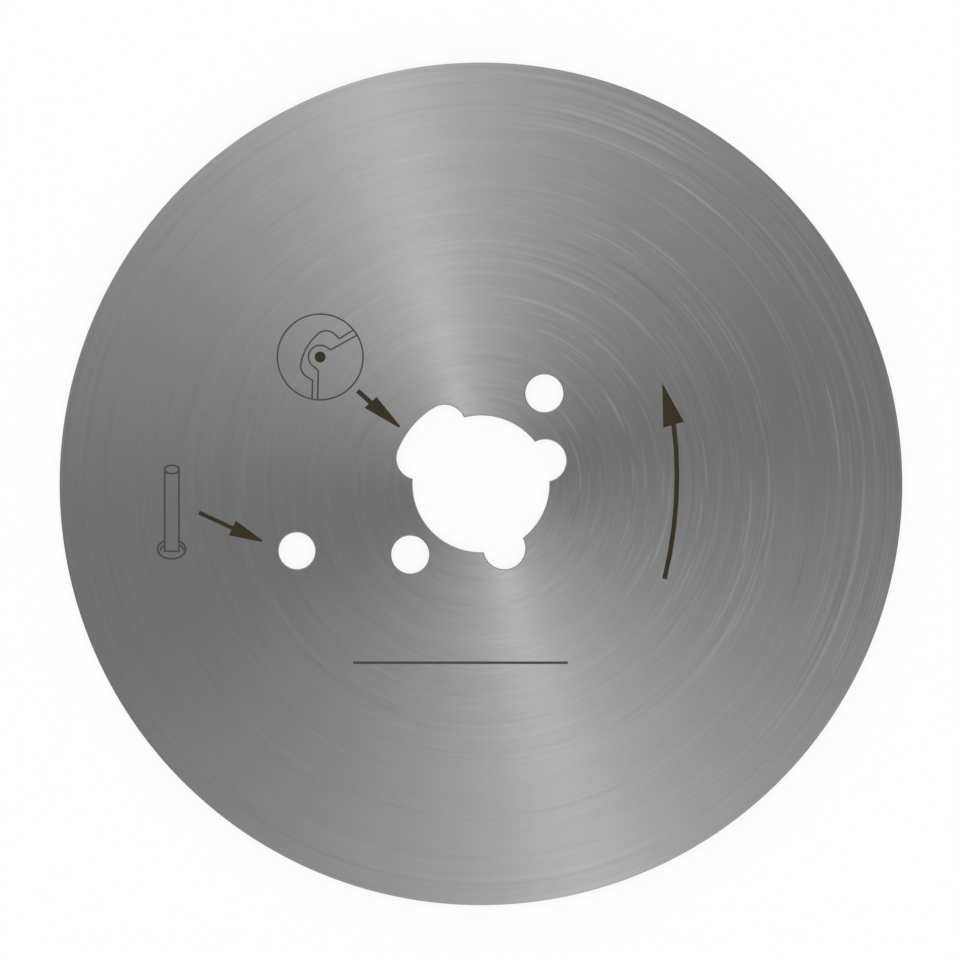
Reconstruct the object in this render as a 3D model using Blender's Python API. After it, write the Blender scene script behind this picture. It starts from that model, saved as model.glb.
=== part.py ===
# Round blade of a hand-held kebab slicer, cut and ground from one disc of stainless steel.
# Metres, +Z up. The origin is on the spin axis, in the underside, and the marked face looks up.
# The only grind is on the underside, so the marked face stays flat right out to the edge.

import math

import bmesh
import bpy

MM = 0.001

# The disc
BLADE_DIAMETER = 80.0 * MM
BLADE_THICKNESS = 1.0 * MM

# The cutting edge, measured in from the rim and down from the marked face
EDGE_LAND = 0.04 * MM  # steel left at the very edge
HONE_WIDTH = 0.35 * MM  # fine honed edge
HONE_STOCK = 0.20 * MM  # steel left where the hone meets the main grind
GRIND_WIDTH = 3.6 * MM  # main grind, out from the flat underside

# The keyed centre opening. Its notches are centred on the bore's own circle.
BORE_DIAMETER = 13.0 * MM
NOTCH_RADIUS = 2.0 * MM
DRIVE_NOTCH_ANGLES = (20.0, 290.0)  # degrees, anticlockwise from +X
LOCK_NOTCH_ANGLE = 140.0
LOCK_NOTCH_HALF_SPAN = 18.0  # degrees to each side, between the centres of its round ends

# The round holes beside the hub. The steel left between each of them and the bore differs, so
# that the blade seats only one way.
HUB_HOLE_DIAMETER = 3.6 * MM
FAR_HUB_HOLE_WEB = 2.2 * MM
FAR_HUB_HOLE_ANGLE = 55.0
NEAR_HUB_HOLE_WEB = 1.2 * MM
NEAR_HUB_HOLE_ANGLE = 225.0

# The hole that the locking pin goes through while the blade is changed
PIN_HOLE_DIAMETER = 3.5 * MM
PIN_HOLE_DISTANCE = 18.6 * MM  # from the spin axis to its centre
PIN_HOLE_ANGLE = 200.0

# Broken edges round every opening, on both faces
EDGE_BREAK = 0.10 * MM

# Facets
RIM_SEGMENTS = 288
BORE_SEGMENTS = 144
HOLE_SEGMENTS = 64
LOCK_ARC_STEPS = 18
SHARP_ANGLE = 9.0  # degrees between two facets that makes their edge a crease

# How far a cutter stands out past each face
CUTTER_OVERRUN = 0.5 * MM

STEEL_COLOUR = (0.31, 0.31, 0.305, 1.0)
STEEL_ROUGHNESS = 0.38


def on_circle(radius, degrees):
    angle = math.radians(degrees)
    return radius * math.cos(angle), radius * math.sin(angle)


def steel_material():
    material = bpy.data.materials.new("brushed_steel")
    material.use_nodes = True
    shader = material.node_tree.nodes["Principled BSDF"]
    shader.inputs["Base Color"].default_value = STEEL_COLOUR
    shader.inputs["Metallic"].default_value = 1.0
    shader.inputs["Roughness"].default_value = STEEL_ROUGHNESS
    return material


def cap_ends(bm):
    """Closes each open end with one flat face and turns every face outwards."""
    open_edges = [edge for edge in bm.edges if edge.is_boundary]
    bmesh.ops.holes_fill(bm, edges=open_edges, sides=0)
    bmesh.ops.recalc_face_normals(bm, faces=bm.faces)


def object_from(bm, name):
    mesh = bpy.data.meshes.new(name)
    bm.to_mesh(mesh)
    bm.free()
    obj = bpy.data.objects.new(name, mesh)
    bpy.context.scene.collection.objects.link(obj)
    return obj


def turned(name, profile, segments):
    """A solid of revolution round Z. Its profile is (radius, height) pairs between its two flat ends."""
    bm = bmesh.new()
    corners = [bm.verts.new((radius, 0.0, height)) for radius, height in profile]
    lines = [bm.edges.new(pair) for pair in zip(corners, corners[1:])]
    bmesh.ops.spin(
        bm,
        geom=corners + lines,
        axis=(0.0, 0.0, 1.0),
        cent=(0.0, 0.0, 0.0),
        angle=math.tau,
        steps=segments,
        use_merge=True,
    )
    cap_ends(bm)
    return object_from(bm, name)


def lofted(name, outlines):
    """A solid through outlines that have the same number of points, closed flat at both ends."""
    bm = bmesh.new()
    rings = []
    for outline in outlines:
        corners = [bm.verts.new(point) for point in outline]
        pairs = zip(corners, corners[1:] + corners[:1])
        rings.append([bm.edges.new(pair) for pair in pairs])
    for lower, upper in zip(rings, rings[1:]):
        bmesh.ops.bridge_loops(bm, edges=lower + upper)
    cap_ends(bm)
    return object_from(bm, name)


def blade_profile():
    """The rim from the underside, over the grind and the hone, to the marked face."""
    rim = BLADE_DIAMETER / 2
    top = BLADE_THICKNESS
    return [
        (rim - HONE_WIDTH - GRIND_WIDTH, 0.0),
        (rim - HONE_WIDTH, top - HONE_STOCK),
        (rim, top - EDGE_LAND),
        (rim, top),
    ]


def cutter_steps():
    """(outward, height) pairs of a cutter's wall, which flares at both faces to break the edges."""
    flare = EDGE_BREAK + CUTTER_OVERRUN
    return [
        (flare, -CUTTER_OVERRUN),
        (0.0, EDGE_BREAK),
        (0.0, BLADE_THICKNESS - EDGE_BREAK),
        (flare, BLADE_THICKNESS + CUTTER_OVERRUN),
    ]


def round_cutter(name, diameter, distance, degrees, segments):
    profile = [(diameter / 2 + outward, height) for outward, height in cutter_steps()]
    cutter = turned(name, profile, segments)
    cutter.location = (*on_circle(distance, degrees), 0.0)
    return cutter


def lock_notch_outline(outward, height):
    """A slot bent round the spin axis: two arcs on the bore's centre, joined by half-round ends."""
    pitch = BORE_DIAMETER / 2
    half_width = NOTCH_RADIUS + outward
    span = LOCK_NOTCH_HALF_SPAN
    end_steps = HOLE_SEGMENTS // 2
    points = []
    for step in range(LOCK_ARC_STEPS):
        turn = span * (2 * step / LOCK_ARC_STEPS - 1)
        points.append(on_circle(pitch + half_width, turn))
    for step in range(end_steps):
        x, y = on_circle(pitch, span)
        dx, dy = on_circle(half_width, span + 180 * step / end_steps)
        points.append((x + dx, y + dy))
    for step in range(LOCK_ARC_STEPS):
        turn = span * (1 - 2 * step / LOCK_ARC_STEPS)
        points.append(on_circle(pitch - half_width, turn))
    for step in range(end_steps):
        x, y = on_circle(pitch, -span)
        dx, dy = on_circle(half_width, 180 - span + 180 * step / end_steps)
        points.append((x + dx, y + dy))
    return [(x, y, height) for x, y in points]


def lock_notch_cutter():
    outlines = [lock_notch_outline(outward, height) for outward, height in cutter_steps()]
    cutter = lofted("lock_notch_cutter", outlines)
    cutter.rotation_euler.z = math.radians(LOCK_NOTCH_ANGLE)
    return cutter


def hub_hole_distance(web):
    return BORE_DIAMETER / 2 + web + HUB_HOLE_DIAMETER / 2


def opening_cutters():
    pitch = BORE_DIAMETER / 2
    cutters = [
        round_cutter("bore_cutter", BORE_DIAMETER, 0.0, 0.0, BORE_SEGMENTS),
        lock_notch_cutter(),
    ]
    for number, degrees in enumerate(DRIVE_NOTCH_ANGLES, start=1):
        name = f"drive_notch_cutter_{number}"
        cutters.append(round_cutter(name, 2 * NOTCH_RADIUS, pitch, degrees, HOLE_SEGMENTS))
    far = hub_hole_distance(FAR_HUB_HOLE_WEB)
    near = hub_hole_distance(NEAR_HUB_HOLE_WEB)
    holes = [
        ("far_hub_hole_cutter", HUB_HOLE_DIAMETER, far, FAR_HUB_HOLE_ANGLE),
        ("near_hub_hole_cutter", HUB_HOLE_DIAMETER, near, NEAR_HUB_HOLE_ANGLE),
        ("pin_hole_cutter", PIN_HOLE_DIAMETER, PIN_HOLE_DISTANCE, PIN_HOLE_ANGLE),
    ]
    for hole in holes:
        cutters.append(round_cutter(*hole, HOLE_SEGMENTS))
    return cutters


def cut(blade, cutters):
    """Takes every cutter out of the blade, applies the cuts to its mesh and removes the cutters."""
    for cutter in cutters:
        cutter.hide_render = True
        cutter.display_type = "WIRE"
        boolean = blade.modifiers.new(cutter.name, "BOOLEAN")
        boolean.operation = "DIFFERENCE"
        boolean.solver = "EXACT"
        boolean.object = cutter
    bpy.context.view_layer.update()
    graph = bpy.context.evaluated_depsgraph_get()
    finished = bpy.data.meshes.new_from_object(blade.evaluated_get(graph))
    blade.modifiers.clear()
    blank = blade.data
    blade.data = finished
    finished.name = blade.name
    bpy.data.meshes.remove(blank)
    for cutter in cutters:
        mesh = cutter.data
        bpy.data.objects.remove(cutter)
        bpy.data.meshes.remove(mesh)


def shade_round(obj):
    obj.data.shade_smooth()
    obj.data.set_sharp_from_angle(angle=math.radians(SHARP_ANGLE))


def slicer_blade():
    blade = turned("slicer_blade", blade_profile(), RIM_SEGMENTS)
    cut(blade, opening_cutters())
    blade.data.materials.clear()
    blade.data.materials.append(steel_material())
    shade_round(blade)
    return blade


for old in list(bpy.data.objects):
    bpy.data.objects.remove(old)

slicer_blade()
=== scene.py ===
import math

import bmesh
import bpy
from mathutils import Matrix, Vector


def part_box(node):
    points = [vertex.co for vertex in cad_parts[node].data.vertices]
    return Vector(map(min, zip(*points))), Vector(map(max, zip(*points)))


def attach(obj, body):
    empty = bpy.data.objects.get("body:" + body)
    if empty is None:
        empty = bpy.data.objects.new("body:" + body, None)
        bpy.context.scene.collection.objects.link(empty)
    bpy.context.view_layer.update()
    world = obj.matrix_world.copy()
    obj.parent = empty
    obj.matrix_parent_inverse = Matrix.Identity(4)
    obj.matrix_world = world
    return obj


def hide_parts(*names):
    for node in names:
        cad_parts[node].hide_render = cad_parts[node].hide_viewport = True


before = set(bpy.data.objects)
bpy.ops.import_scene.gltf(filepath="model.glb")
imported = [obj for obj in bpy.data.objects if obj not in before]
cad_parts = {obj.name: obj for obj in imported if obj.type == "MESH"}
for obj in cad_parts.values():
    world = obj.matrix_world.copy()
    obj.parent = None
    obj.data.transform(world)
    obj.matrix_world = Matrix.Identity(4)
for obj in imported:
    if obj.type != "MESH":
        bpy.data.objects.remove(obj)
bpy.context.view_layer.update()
print("frame loaded")

# Shapes are drawn in millimetres and become metres when a piece is finished.
mm = 0.001
upward = (0.0, 0.0, 1.0)
steelNode = "slicer_blade"
lowest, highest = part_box(steelNode)
rimRadius = (highest.x - lowest.x) / 2 / mm
faceHeight = highest.z / mm  # the marked face
near = 0.001  # heights and corners closer than this are the same one


class Wire:  # a socket that sums and products can be written with
    def __init__(self, nodes, socket):
        self.nodes = nodes
        self.socket = socket

    def __getitem__(self, name):  # another output of the same node
        return Wire(self.nodes, self.socket.node.outputs[name])

    def __add__(self, other):
        return self.nodes.maths("ADD", self, other)

    def __radd__(self, other):
        return self.nodes.maths("ADD", other, self)

    def __sub__(self, other):
        return self.nodes.maths("SUBTRACT", self, other)

    def __rsub__(self, other):
        return self.nodes.maths("SUBTRACT", other, self)

    def __mul__(self, other):
        return self.nodes.maths("MULTIPLY", self, other)

    def __rmul__(self, other):
        return self.nodes.maths("MULTIPLY", other, self)

    def __truediv__(self, other):
        return self.nodes.maths("DIVIDE", self, other)

    def __rtruediv__(self, other):
        return self.nodes.maths("DIVIDE", other, self)

    def __pow__(self, other):
        return self.nodes.maths("POWER", self, other)

    def __rpow__(self, other):
        return self.nodes.maths("POWER", other, self)

    def __abs__(self):
        return self.nodes.maths("ABSOLUTE", self)


class Nodes:  # the node tree of one material, or of the world
    def __init__(self, tree):
        self.tree = tree
        tree.nodes.clear()

    def add(self, kind, settings=None, sockets=None):
        node = self.tree.nodes.new(kind)
        for name, value in (settings or {}).items():
            setattr(node, name, value)
        for key, value in (sockets or {}).items():
            if isinstance(key, str):
                socket = next(s for s in node.inputs if s.enabled and s.name == key)
            else:
                socket = node.inputs[key]
            if isinstance(value, Wire):
                self.tree.links.new(value.socket, socket)
            else:
                socket.default_value = value
        outputs = [s for s in node.outputs if s.enabled]
        return Wire(self, outputs[0]) if outputs else None

    def maths(self, operation, *values):
        return self.add("ShaderNodeMath", {"operation": operation}, dict(enumerate(values)))

    def vector(self, x, y, z):
        return self.add("ShaderNodeCombineXYZ", None, {"X": x, "Y": y, "Z": z})

    def coordinates(self, kind):  # a texture coordinate as three numbers
        place = self.add("ShaderNodeTexCoord")[kind]
        split = self.add("ShaderNodeSeparateXYZ", None, {"Vector": place})
        return split["X"], split["Y"], split["Z"]

    def noise(self, vector, detail=0.0):
        sockets = {"Vector": vector, "Scale": 1.0, "Detail": detail}
        return self.add("ShaderNodeTexNoise", {"noise_dimensions": "3D"}, sockets)

    def step(self, value, start, end):  # 0 below start, 1 above end, smooth between them
        sockets = {"Value": value, "From Min": start, "From Max": end}
        return self.add("ShaderNodeMapRange", {"interpolation_type": "SMOOTHSTEP"}, sockets)

    def tint(self, colour, shade):  # a plain colour made lighter or darker by a number
        sockets = {0: colour, "Scale": shade}
        return self.add("ShaderNodeVectorMath", {"operation": "SCALE"}, sockets)

    def bump(self, height, look):
        distance, strength = look["bumpHeight"], look["bumpStrength"]
        sockets = {"Height": height, "Distance": distance, "Strength": strength}
        return self.add("ShaderNodeBump", None, sockets)

    def surface(self, sockets):  # the shader that the material shows
        shader = self.add("ShaderNodeBsdfPrincipled", None, sockets)
        self.add("ShaderNodeOutputMaterial", None, {"Surface": shader})


def newMaterial(name):
    material = bpy.data.materials.new(name)
    material.use_nodes = True
    return material, Nodes(material.node_tree)


def roundAxis(nodes):
    # a point's direction from the spin axis, as two numbers, its distance and its height
    x, y, z = nodes.coordinates("Object")
    distance = (x * x + y * y) ** 0.5
    return x / distance, y / distance, distance, z


# How the brushed faces look. perMetre is how many lines lie across a metre, and perTurn and
# patchPerMetre say how often they start and stop.
brushing = {
    "colour": (0.275, 0.275, 0.275),
    "roughness": 0.40,
    "roughnessShare": 0.1,  # how much smoother a lighter line is
    "anisotropy": 1.0,
    "brushTurn": 0.25,
    "strongSide": 22.0,  # degrees from +X, where the brushing is coarsest and the painted sheen is lightest
    "strongFrom": 0.34,
    "strongTo": 0.82,
    "weakShare": 0.22,  # how strong the scratches are on the far side
    # painted sheen: the base colour is this much lighter towards strongSide and darker away from
    # it, standing in for a brighter reflection on that side
    "sideGain": 0.02,
    "lines": {
        "perMetre": 2000, "perTurn": 2.2, "patchPerMetre": 1000, "wander": 0.00005,
        "seed": 3.3, "strength": 0.18,
    },
    "bands": {
        "perMetre": 650, "perTurn": 1.4, "patchPerMetre": 400, "wander": 0.0,
        "seed": 11.7, "strength": 0.08,
    },
    "scratches": {
        "perMetre": 1800, "perTurn": 2.6, "patchPerMetre": 1400, "wander": 0.00012,
        "seed": 17.1, "strength": 0.8,
    },
    "fineScratches": {
        "perMetre": 2600, "perTurn": 3.2, "patchPerMetre": 1800, "wander": 0.0001,
        "seed": 41.7, "strength": 0.8,
    },
    "darkScratches": {
        "perMetre": 2300, "perTurn": 2.8, "patchPerMetre": 1500, "wander": 0.0001,
        "seed": 57.9, "strength": -0.35,
    },
    "specks": {
        "perMetre": 7000, "perTurn": 40.0, "patchPerMetre": 5000, "wander": 0.0,
        "seed": 73.1, "strength": 0.16,
    },
    "fine": {
        "perMetre": 24000, "perTurn": 6.0, "patchPerMetre": 9000, "wander": 0.0,
        "seed": 23.9, "strength": 0.18,
    },
    "scratchFloor": 0.03,  # weaker lines than this don't show as scratches
    "bumpHeight": 0.00003,
    "bumpStrength": 0.25,
}
patchEdge = (0.34, 0.66)  # the noise at which a patch's lines turn over
faceShift = 40000  # how far a metre of height moves the noise, so that the two faces differ


def brushLines(nodes, around, look):
    # Noise across the circles, turned over from patch to patch, gives light and dark lines that
    # run round the spin axis, wander a little and start and stop on their way.
    ux, uy, distance, height = around
    face = height * faceShift + look["seed"]
    turn = look["perTurn"]
    patches = nodes.noise(
        nodes.vector(ux * turn, uy * turn, distance * look["patchPerMetre"] + face)
    )
    strayed = distance + patches * look["wander"]
    circles = nodes.noise(nodes.vector(0.0, 0.0, strayed * look["perMetre"] + face))
    return (circles - 0.5) * (2 * nodes.step(patches, *patchEdge) - 1)


def brushedSteel(look):
    material, nodes = newMaterial("brushed steel")
    around = roundAxis(nodes)
    side = math.radians(look["strongSide"])
    facing = around[0] * math.cos(side) + around[1] * math.sin(side)
    strong = nodes.step(facing, look["strongFrom"], look["strongTo"])
    scratches = 0.0
    for name in ("scratches", "fineScratches", "darkScratches"):
        drawn = brushLines(nodes, around, look[name]) - look["scratchFloor"]
        scratches = nodes.maths("MAXIMUM", drawn, 0.0) * look[name]["strength"] + scratches
    scratches = scratches * (look["weakShare"] + (1 - look["weakShare"]) * strong)
    lift = scratches
    for name in ("lines", "bands"):
        lift = lift + brushLines(nodes, around, look[name]) * look[name]["strength"]
    fine = brushLines(nodes, around, look["fine"]) * look["fine"]["strength"]
    specks = brushLines(nodes, around, look["specks"]) * look["specks"]["strength"]
    # facing times the side gain is painted sheen: the base colour is lighter towards strongSide,
    # in place of a brighter reflection there
    shade = 1 + lift + fine + specks + facing * look["sideGain"]
    nodes.surface({
        "Base Color": nodes.tint(look["colour"], shade),
        "Metallic": 1.0,
        "Roughness": look["roughness"] - lift * look["roughnessShare"],
        "Anisotropic": look["anisotropy"],
        "Anisotropic Rotation": look["brushTurn"],
        "Normal": nodes.bump(fine + scratches, look),
    })
    return material


# The two ground bands of the cutting edge. Their lines cross the edge at a slant.
grinding = {
    "ground": {"colour": (0.31, 0.31, 0.31), "roughness": 0.36, "lines": 1500, "slant": 40},
    "honed": {"colour": (0.42, 0.42, 0.42), "roughness": 0.26, "lines": 2500, "slant": 25},
    "perMetre": 150,
    "shadeShare": 0.6,
    "roughnessShare": 0.15,
    "bumpHeight": 0.00001,
    "bumpStrength": 0.3,
}


def groundSteel(name, look):
    material, nodes = newMaterial(name + " edge")
    band = look[name]
    ux, uy, distance, height = roundAxis(nodes)
    turn = nodes.maths("ARCTAN2", uy, ux) + distance * band["slant"]
    radius = band["lines"] / math.tau
    x = nodes.maths("COSINE", turn) * radius
    y = nodes.maths("SINE", turn) * radius
    lines = nodes.noise(nodes.vector(x, y, distance * look["perMetre"]), 1.0) - 0.5
    nodes.surface({
        "Base Color": nodes.tint(band["colour"], 1 + lines * look["shadeShare"]),
        "Metallic": 1.0,
        "Roughness": band["roughness"] + lines * look["roughnessShare"],
        "Normal": nodes.bump(lines, look),
    })
    return material


# The walls of the openings, with the upright marks that cutting them left
cutWall = {
    "colour": (0.30, 0.30, 0.295),
    "roughness": 0.42,
    "acrossPerMetre": 9000,
    "downPerMetre": 500,
    "shadeShare": 0.5,
    "roughnessShare": 0.2,
}


def cutSteel(look):
    material, nodes = newMaterial("cut steel")
    across, down = look["acrossPerMetre"], look["downPerMetre"]
    x, y, z = nodes.coordinates("Object")
    marks = nodes.noise(nodes.vector(x * across, y * across, z * down), 2.0) - 0.5
    nodes.surface({
        "Base Color": nodes.tint(look["colour"], 1 + marks * look["shadeShare"]),
        "Metallic": 1.0,
        "Roughness": look["roughness"] + marks * look["roughnessShare"],
    })
    return material


# The laser's marks are dark brown where they fill a shape and lighter and greyer as a fine line.
laserMarks = {
    "colours": {"solid": (0.040, 0.031, 0.0175), "fine": (0.066, 0.066, 0.065)},
    "roughness": 0.55,
    "specular": 0.03,
    "mottlePerMetre": 5000,
    "shadeShare": 0.5,
    "roughnessShare": 0.2,
}


def markedSteel(name, look):
    material, nodes = newMaterial(name + " laser mark")
    x, y, z = [value * look["mottlePerMetre"] for value in nodes.coordinates("Object")]
    mottle = nodes.noise(nodes.vector(x, y, z), 2.0) - 0.5
    nodes.surface({
        "Base Color": nodes.tint(look["colours"][name], 1 + mottle * look["shadeShare"]),
        "Roughness": look["roughness"] + mottle * look["roughnessShare"],
        "Specular IOR Level": look["specular"],
    })
    return material


def objectFrom(bm, name):
    bmesh.ops.recalc_face_normals(bm, faces=bm.faces)
    mesh = bpy.data.meshes.new(name)
    bm.to_mesh(mesh)
    bm.free()
    obj = bpy.data.objects.new(name, mesh)
    bpy.context.scene.collection.objects.link(obj)
    return obj


def applyModifiers(obj):
    bpy.context.view_layer.update()
    graph = bpy.context.evaluated_depsgraph_get()
    result = bpy.data.meshes.new_from_object(obj.evaluated_get(graph))
    before = obj.data
    obj.modifiers.clear()
    obj.data = result
    result.name = obj.name
    bpy.data.meshes.remove(before)


def combine(obj, operation, tools, crossing=()):
    # Cuts the tools out of obj, or keeps only what they share. The crossing tools are those whose
    # own shells pass through each other.
    for tool in tools:
        boolean = obj.modifiers.new(tool.name, "BOOLEAN")
        boolean.operation = operation
        boolean.solver = "EXACT"
        boolean.use_self = tool in crossing
        boolean.object = tool
    applyModifiers(obj)


def discard(objects):
    for obj in objects:
        mesh = obj.data
        bpy.data.objects.remove(obj)
        bpy.data.meshes.remove(mesh)


def onCircle(radius, degrees):
    angle = math.radians(degrees)
    return radius * math.cos(angle), radius * math.sin(angle)


def capEnds(bm):
    bmesh.ops.holes_fill(bm, edges=[edge for edge in bm.edges if edge.is_boundary], sides=0)


def spinArc(bm, first, centre, degrees, steps):
    # an arc of edges from a vertex, in the order they are drawn
    count = len(bm.verts)
    bmesh.ops.spin(
        bm,
        geom=[first],
        cent=(*centre, first.co.z),
        axis=upward,
        angle=math.radians(degrees),
        steps=steps,
    )
    return [first] + list(bm.verts)[count:]


def turned(name, profile, facets):
    bm = bmesh.new()
    corners = [bm.verts.new((radius, 0.0, height)) for radius, height in profile]
    lines = [bm.edges.new(pair) for pair in zip(corners, corners[1:])]
    bmesh.ops.spin(
        bm,
        geom=corners + lines,
        cent=(0.0, 0.0, 0.0),
        axis=upward,
        angle=math.tau,
        steps=facets,
        use_merge=True,
    )
    capEnds(bm)
    return objectFrom(bm, name)


# The disc and its cutting edge, as packed but with finer facets
disc = {
    "facets": 720,
    "edgeLand": 0.04,
    "honeWidth": 0.35,
    "honeStock": 0.20,
    "grindWidth": 3.6,
}

# The openings: diameter, distance from the axis, angle from +X and facets of each round one
openings = {
    "edgeBreak": 0.10,
    "overrun": 0.5,
    "rounds": {
        "bore": (13.0, 0.0, 0.0, 288),
        "driveNotch1": (4.0, 6.5, 20.0, 96),
        "driveNotch2": (4.0, 6.5, 290.0, 96),
        "farHubHole": (3.6, 10.5, 55.0, 96),
        "nearHubHole": (3.6, 9.5, 225.0, 96),
        "pinHole": (3.5, 18.6, 200.0, 96),
    },
    "lockNotch": {"pitch": 6.5, "radius": 2.0, "angle": 140.0, "halfSpan": 18.0, "steps": 48},
}


def bladeBlank(look):
    edge = rimRadius - look["honeWidth"]
    profile = [
        (edge - look["grindWidth"], 0.0),
        (edge, faceHeight - look["honeStock"]),
        (rimRadius, faceHeight - look["edgeLand"]),
        (rimRadius, faceHeight),
    ]
    return turned("brushed_blade", profile, look["facets"])


def cutterWall(look):
    # how far out a cutter's wall stands at each height, so that it breaks the edges of both faces
    flare = look["edgeBreak"] + look["overrun"]
    return [
        (flare, -look["overrun"]),
        (0.0, look["edgeBreak"]),
        (0.0, faceHeight - look["edgeBreak"]),
        (flare, faceHeight + look["overrun"]),
    ]


def roundCutter(name, look, wall):
    diameter, distance, angle, facets = look
    cutter = turned(name, [(diameter / 2 + out, height) for out, height in wall], facets)
    cutter.data.transform(Matrix.Translation((*onCircle(distance, angle), 0.0)))
    return cutter


def notchRing(bm, look, out, height):
    # two long arcs round the spin axis and two half-round ends, each spun on from the last
    pitch, half, span = look["pitch"], look["radius"] + out, look["halfSpan"]
    middle, steps = look["angle"], look["steps"]
    start = bm.verts.new((*onCircle(pitch + half, middle - span), height))
    ring = [start]
    for centre, degrees in [
        ((0.0, 0.0), 2 * span),
        (onCircle(pitch, middle + span), 180),
        ((0.0, 0.0), -2 * span),
        (onCircle(pitch, middle - span), 180),
    ]:
        ring += spinArc(bm, ring[-1], centre, degrees, steps)[1:]
    bmesh.ops.remove_doubles(bm, verts=[start, ring[-1]], dist=near)
    return [edge for edge in bm.edges if abs(edge.verts[0].co.z - height) < near]


def notchCutter(name, look, wall):
    bm = bmesh.new()
    rings = [notchRing(bm, look, out, height) for out, height in wall]
    for lower, upper in zip(rings, rings[1:]):
        bmesh.ops.bridge_loops(bm, edges=lower + upper)
    capEnds(bm)
    return objectFrom(bm, name)


# The signs that a laser marked on the face. Lines are centrelines, listed by their width: a pair
# is a corner, and a dictionary is an arc about a centre, with its two radii, first angle and
# sweep in degrees.
signDepth = {"recess": 0.03, "sunk": 0.004, "overrun": 0.3}
arcStep = 4.0  # degrees of an arc to each of its facets
fewestSteps = 6
gap = 0.002  # the ends of a path's steps meet within this


def arc(x, y, wide, tall=None, start=0.0, sweep=360.0):
    return {"centre": (x, y), "radii": (wide, tall or wide), "start": start, "sweep": sweep}


rotationArrow = {
    "mark": "solid",
    "at": (0.0, 0.0),
    "lines": {0.45: [[arc(-22.354, 0.743, 40.96, start=-13.8, sweep=21.0)]]},
    "filled": [[(17.21, 9.60), (17.31, 5.33), (19.27, 5.90)]],
}

notchDrawing = {
    "mark": "fine",
    "at": (-15.26, 12.05),
    "lines": {
        0.150: [
            [arc(0.0, 0.0, 4.07)],
            [
                (3.097, 2.525),
                (1.825, 1.726),
                arc(0.570, 1.356, 1.135, start=46.2, sweep=83.3),
                arc(2.915, -1.489, 4.822, start=129.5, sweep=41.0),
                arc(-0.721, -0.881, 1.135, start=170.5, sweep=67.4),
                (-0.727, -2.216),
                (-0.772, -3.951),
            ],
            [
                (3.451, 2.043),
                (1.053, 0.708),
                (0.90, 0.715),
                arc(0.0, 0.0, 1.108, start=55.0, sweep=178.0),
                (-0.33, -1.15),
                (-0.182, -1.330),
                (-0.245, -4.014),
            ],
        ],
    },
    "filled": [],
}

# the dot in that drawing, and the arrow to the notch
notchArrow = {
    "mark": "solid",
    "at": (-15.26, 12.05),
    "lines": {0.45: [[(3.55, -3.20), (4.95, -4.47)]]},
    "filled": [
        [arc(0.0, 0.0, 0.52)],
        [(5.35, -3.79), (4.20, -4.83), (7.47, -6.72), (7.60, -6.57)],
    ],
}

pinDrawing = {
    "mark": "fine",
    "at": (-29.345, 0.0),
    "lines": {
        0.173: [
            [arc(0.0, 1.371, 0.69, 0.40)],
            [(-0.67, 1.371), (-0.67, -6.39), (0.67, -6.39), (0.67, 1.371)],
            [arc(-0.025, -6.21, 1.332, 0.908, start=120.2, sweep=299.6)],
            [(-1.125, -6.367), (-0.98, -6.05), (-0.67, -5.774)],
            [(0.725, -5.774), (1.00, -6.02), (1.175, -6.39)],
        ],
    },
    "filled": [],
}

pinArrow = {
    "mark": "solid",
    "at": (-29.345, 0.0),
    "lines": {0.39: [[(2.565, -2.72), (5.95, -4.28)]]},
    "filled": [[(6.085, -3.49), (5.415, -4.88), (8.50, -5.52), (8.60, -5.36)]],
}

plainLine = {
    "mark": "fine",
    "at": (0.0, 0.0),
    "lines": {0.245: [[(-12.12, -16.98), (8.25, -16.98)]]},
    "filled": [],
}

signs = {
    "rotation_arrow": rotationArrow,
    "notch_drawing": notchDrawing,
    "notch_arrow": notchArrow,
    "pin_drawing": pinDrawing,
    "pin_arrow": pinArrow,
    "plain_line": plainLine,
}


def drawPath(bm, path):
    drawn = []
    for step in path:
        if isinstance(step, dict):
            wide, tall = step["radii"]
            x, y = onCircle(wide, step["start"])
            cx, cy = step["centre"]
            first = bm.verts.new((cx + x, cy + y, 0.0))
            facets = max(fewestSteps, round(step["sweep"] / arcStep))
            piece = spinArc(bm, first, step["centre"], step["sweep"], facets)
            fromCentre = Matrix.Translation((-cx, -cy, 0.0))
            bmesh.ops.scale(bm, verts=piece, vec=(1.0, tall / wide, 1.0), space=fromCentre)
        else:
            piece = [bm.verts.new((*step, 0.0))]
        if drawn:
            bm.edges.new((drawn[-1], piece[0]))
        drawn += piece
    bmesh.ops.remove_doubles(bm, verts=drawn, dist=gap)


def raiseShape(bm, made, height):
    corners = [part for part in made["geom"] if isinstance(part, bmesh.types.BMVert)]
    bmesh.ops.translate(bm, verts=corners, vec=(0.0, 0.0, height))


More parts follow.
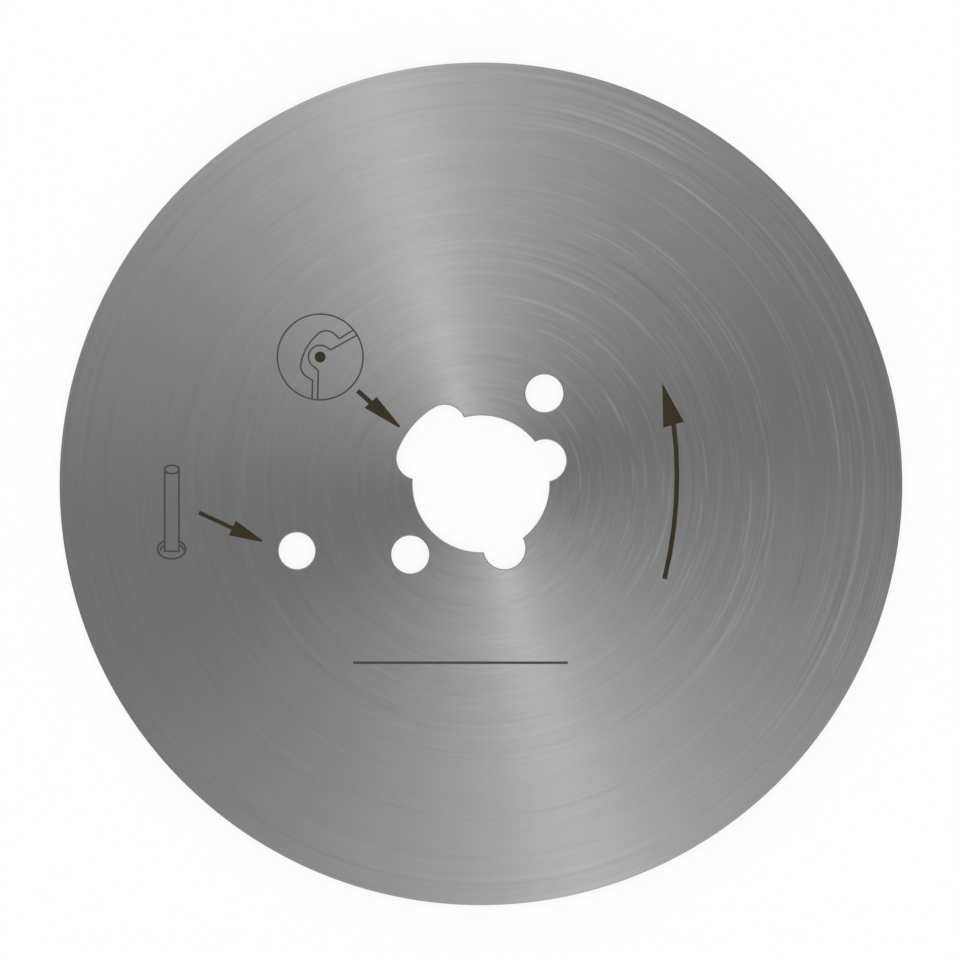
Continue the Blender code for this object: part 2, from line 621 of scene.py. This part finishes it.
def signCutter(name, sign, depth):
    # upright shells of the sign's lines and filled shapes, which may pass through each other
    height = depth["recess"] + depth["overrun"]
    shells = []
    for width, paths in sign["lines"].items():
        bm = bmesh.new()
        for path in paths:
            drawPath(bm, path)
        raiseShape(bm, bmesh.ops.extrude_edge_only(bm, edges=bm.edges[:]), height)
        shell = objectFrom(bm, name + "_lines")
        solidify = shell.modifiers.new("line width", "SOLIDIFY")
        solidify.thickness = width
        solidify.offset = 0.0
        solidify.use_even_offset = True
        applyModifiers(shell)
        shells.append(shell)
    for path in sign["filled"]:
        bm = bmesh.new()
        drawPath(bm, path)
        if len(path) > 1:
            bmesh.ops.contextual_create(bm, geom=bm.verts[:])
        bmesh.ops.holes_fill(bm, edges=bm.edges[:], sides=0)
        raiseShape(bm, bmesh.ops.extrude_face_region(bm, geom=bm.faces[:]), height)
        shells.append(objectFrom(bm, name + "_shape"))
    bm = bmesh.new()
    for shell in shells:
        bm.from_mesh(shell.data)
    place = (*sign["at"], faceHeight - depth["recess"])
    bmesh.ops.translate(bm, verts=bm.verts, vec=place)
    discard(shells)
    return objectFrom(bm, name + "_cutter")


straight = 0.0001  # radians, the bend at which an edge or a face counts as straight


def inlay(name, cutter, depth):
    # what fills a sign's recess, a hair lower than the face, without spare corners on its edges
    bm = bmesh.new()
    bmesh.ops.create_cube(bm, size=1.0)
    wide = 2.2 * rimRadius  # wider than the blade
    bmesh.ops.scale(bm, verts=bm.verts, vec=(wide, wide, faceHeight))
    middle = faceHeight / 2 - depth["sunk"]
    bmesh.ops.translate(bm, verts=bm.verts, vec=(0.0, 0.0, middle))
    piece = objectFrom(bm, name)
    combine(piece, "INTERSECT", [cutter], [cutter])
    bm = bmesh.new()
    bm.from_mesh(piece.data)
    bmesh.ops.dissolve_limit(bm, angle_limit=straight, verts=bm.verts, edges=bm.edges)
    bm.to_mesh(piece.data)
    bm.free()
    return piece


def sortFinishes(blade, look):
    # 0 brushed, 1 ground, 2 honed, 3 cut
    honed = rimRadius - look["honeWidth"]
    level = 0.999  # how upright the normal of a flat face stands
    for face in blade.data.polygons:
        radius = face.center.to_2d().length
        if abs(face.normal.z) > level:
            face.material_index = 0
        elif radius > honed - near:
            face.material_index = 2
        elif radius > honed - look["grindWidth"]:
            face.material_index = 1
        else:
            face.material_index = 3


sliver = 0.0001  # edges shorter than this are dissolved
sharpAngle = 9.0  # degrees between two facets that makes their edge a crease


def finishPiece(piece, materials):
    bm = bmesh.new()
    bm.from_mesh(piece.data)
    bmesh.ops.dissolve_degenerate(bm, edges=bm.edges, dist=sliver)
    bm.to_mesh(piece.data)
    bm.free()
    piece.data.transform(Matrix.Scale(mm, 4))
    for material in materials:
        piece.data.materials.append(material)
    piece.data.shade_smooth()
    piece.data.set_sharp_from_angle(angle=math.radians(sharpAngle))
    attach(piece, "root")


def makeBlade():
    blade = bladeBlank(disc)
    wall = cutterWall(openings)
    cutters = [roundCutter(name, look, wall) for name, look in openings["rounds"].items()]
    cutters.append(notchCutter("lockNotch", openings["lockNotch"], wall))
    signCutters = {name: signCutter(name, sign, signDepth) for name, sign in signs.items()}
    crossing = list(signCutters.values())
    combine(blade, "DIFFERENCE", cutters + crossing, crossing)
    print("blade cut:", len(blade.data.polygons), "faces")
    inlays = [inlay(name, cutter, signDepth) for name, cutter in signCutters.items()]
    print("signs filled:", [len(piece.data.polygons) for piece in inlays])
    discard(cutters + crossing)
    sortFinishes(blade, disc)
    finishes = [
        brushedSteel(brushing),
        groundSteel("ground", grinding),
        groundSteel("honed", grinding),
        cutSteel(cutWall),
    ]
    finishPiece(blade, finishes)
    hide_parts(steelNode)
    skins = {name: markedSteel(name, laserMarks) for name in laserMarks["colours"]}
    for piece, sign in zip(inlays, signs.values()):
        finishPiece(piece, [skins[sign["mark"]]])


# The studio, in metres. Directions are degrees from +X, anticlockwise from above.
studio = {
    "sheenLine": 104.6,  # the air is brightest along this line, both ways
    "white": (1.0, 1.0, 1.0, 1.0),
    "sheenStrength": 1.59,
    "sheenFade": 77.5,  # degrees off the line over which the sheen falls to 37 %
    "horizonStrength": 1.0,
    "horizonTop": (0.05, 0.22),  # how high the air is plain white, and where the sheen is whole
    "stripHeight": 1.4,
    "stripWidth": 0.22,
    "stripLength": 9.0,
    "stripPower": 5.9,
    "floorReach": 12.0,
    "floorColour": (0.97, 0.97, 0.97, 1.0),
    "floorWhite": 1.0,
    "floorGlow": 0.85,  # how much of the floor's white isn't shaded
    "floorDrop": 0.00001,
}


def lightWorld(look):
    world = bpy.data.worlds.new("studio air")
    world.use_nodes = True
    bpy.context.scene.world = world
    nodes = Nodes(world.node_tree)
    x, y, z = nodes.coordinates("Generated")
    line = math.radians(look["sheenLine"])
    along = abs(x * math.cos(line) + y * math.sin(line))
    beside = abs(x * math.sin(line) - y * math.cos(line))
    off = nodes.maths("ARCTAN2", beside, along)  # 0 on the line and a quarter turn across it
    fade = math.e ** (off * (-1 / math.radians(look["sheenFade"])))
    above = nodes.step(z, *look["horizonTop"])
    strength = fade * look["sheenStrength"] * above + look["horizonStrength"] * (1 - above)
    air = nodes.add("ShaderNodeBackground", None, {"Color": look["white"], "Strength": strength})
    nodes.add("ShaderNodeOutputWorld", None, {"Surface": air})


def hangStrip(look):
    lamp = bpy.data.lights.new("strip", "AREA")
    lamp.shape = "RECTANGLE"
    lamp.size = look["stripLength"]
    lamp.size_y = look["stripWidth"]
    lamp.energy = look["stripPower"]
    strip = bpy.data.objects.new("strip", lamp)
    strip.location = (0.0, 0.0, look["stripHeight"])
    strip.rotation_euler.z = math.radians(look["sheenLine"])
    strip.visible_camera = False
    bpy.context.scene.collection.objects.link(strip)


def layFloor(look):
    bm = bmesh.new()
    bmesh.ops.create_grid(bm, x_segments=1, y_segments=1, size=look["floorReach"])
    bmesh.ops.translate(bm, verts=bm.verts, vec=(0.0, 0.0, -look["floorDrop"]))
    floor = objectFrom(bm, "studio_floor")
    material, nodes = newMaterial("white floor")
    paper = nodes.add("ShaderNodeBsdfDiffuse", None, {"Color": look["floorColour"]})
    glow = nodes.add(
        "ShaderNodeEmission", None, {"Color": look["white"], "Strength": look["floorWhite"]}
    )
    ray = nodes.add("ShaderNodeLightPath")
    seen = nodes.maths("MAXIMUM", ray["Is Camera Ray"], ray["Is Glossy Ray"])
    seen = nodes.maths("MAXIMUM", seen, ray["Is Transmission Ray"])
    mix = nodes.add("ShaderNodeMixShader", None, {0: seen * look["floorGlow"], 1: paper, 2: glow})
    nodes.add("ShaderNodeOutputMaterial", None, {"Surface": mix})
    floor.data.materials.append(material)


# The camera looks straight down at the marked face.
camera = {
    "place": (-0.00009, 0.000366, 0.50731),
    "lens": 200.0,
    "sensor": 36.0,
    "nearest": 0.01,
    "furthest": 50.0,
}


def setCamera(look):
    data = bpy.data.cameras.new("camera")
    data.lens = look["lens"]
    data.sensor_width = look["sensor"]
    data.clip_start = look["nearest"]
    data.clip_end = look["furthest"]
    eye = bpy.data.objects.new("camera", data)
    eye.location = look["place"]
    bpy.context.scene.collection.objects.link(eye)
    bpy.context.scene.camera = eye


setCamera(camera)
makeBlade()
print("blade and signs made")
lightWorld(studio)
hangStrip(studio)
layFloor(studio)
bpy.context.scene.view_settings.view_transform = "Standard"
print("studio lit")
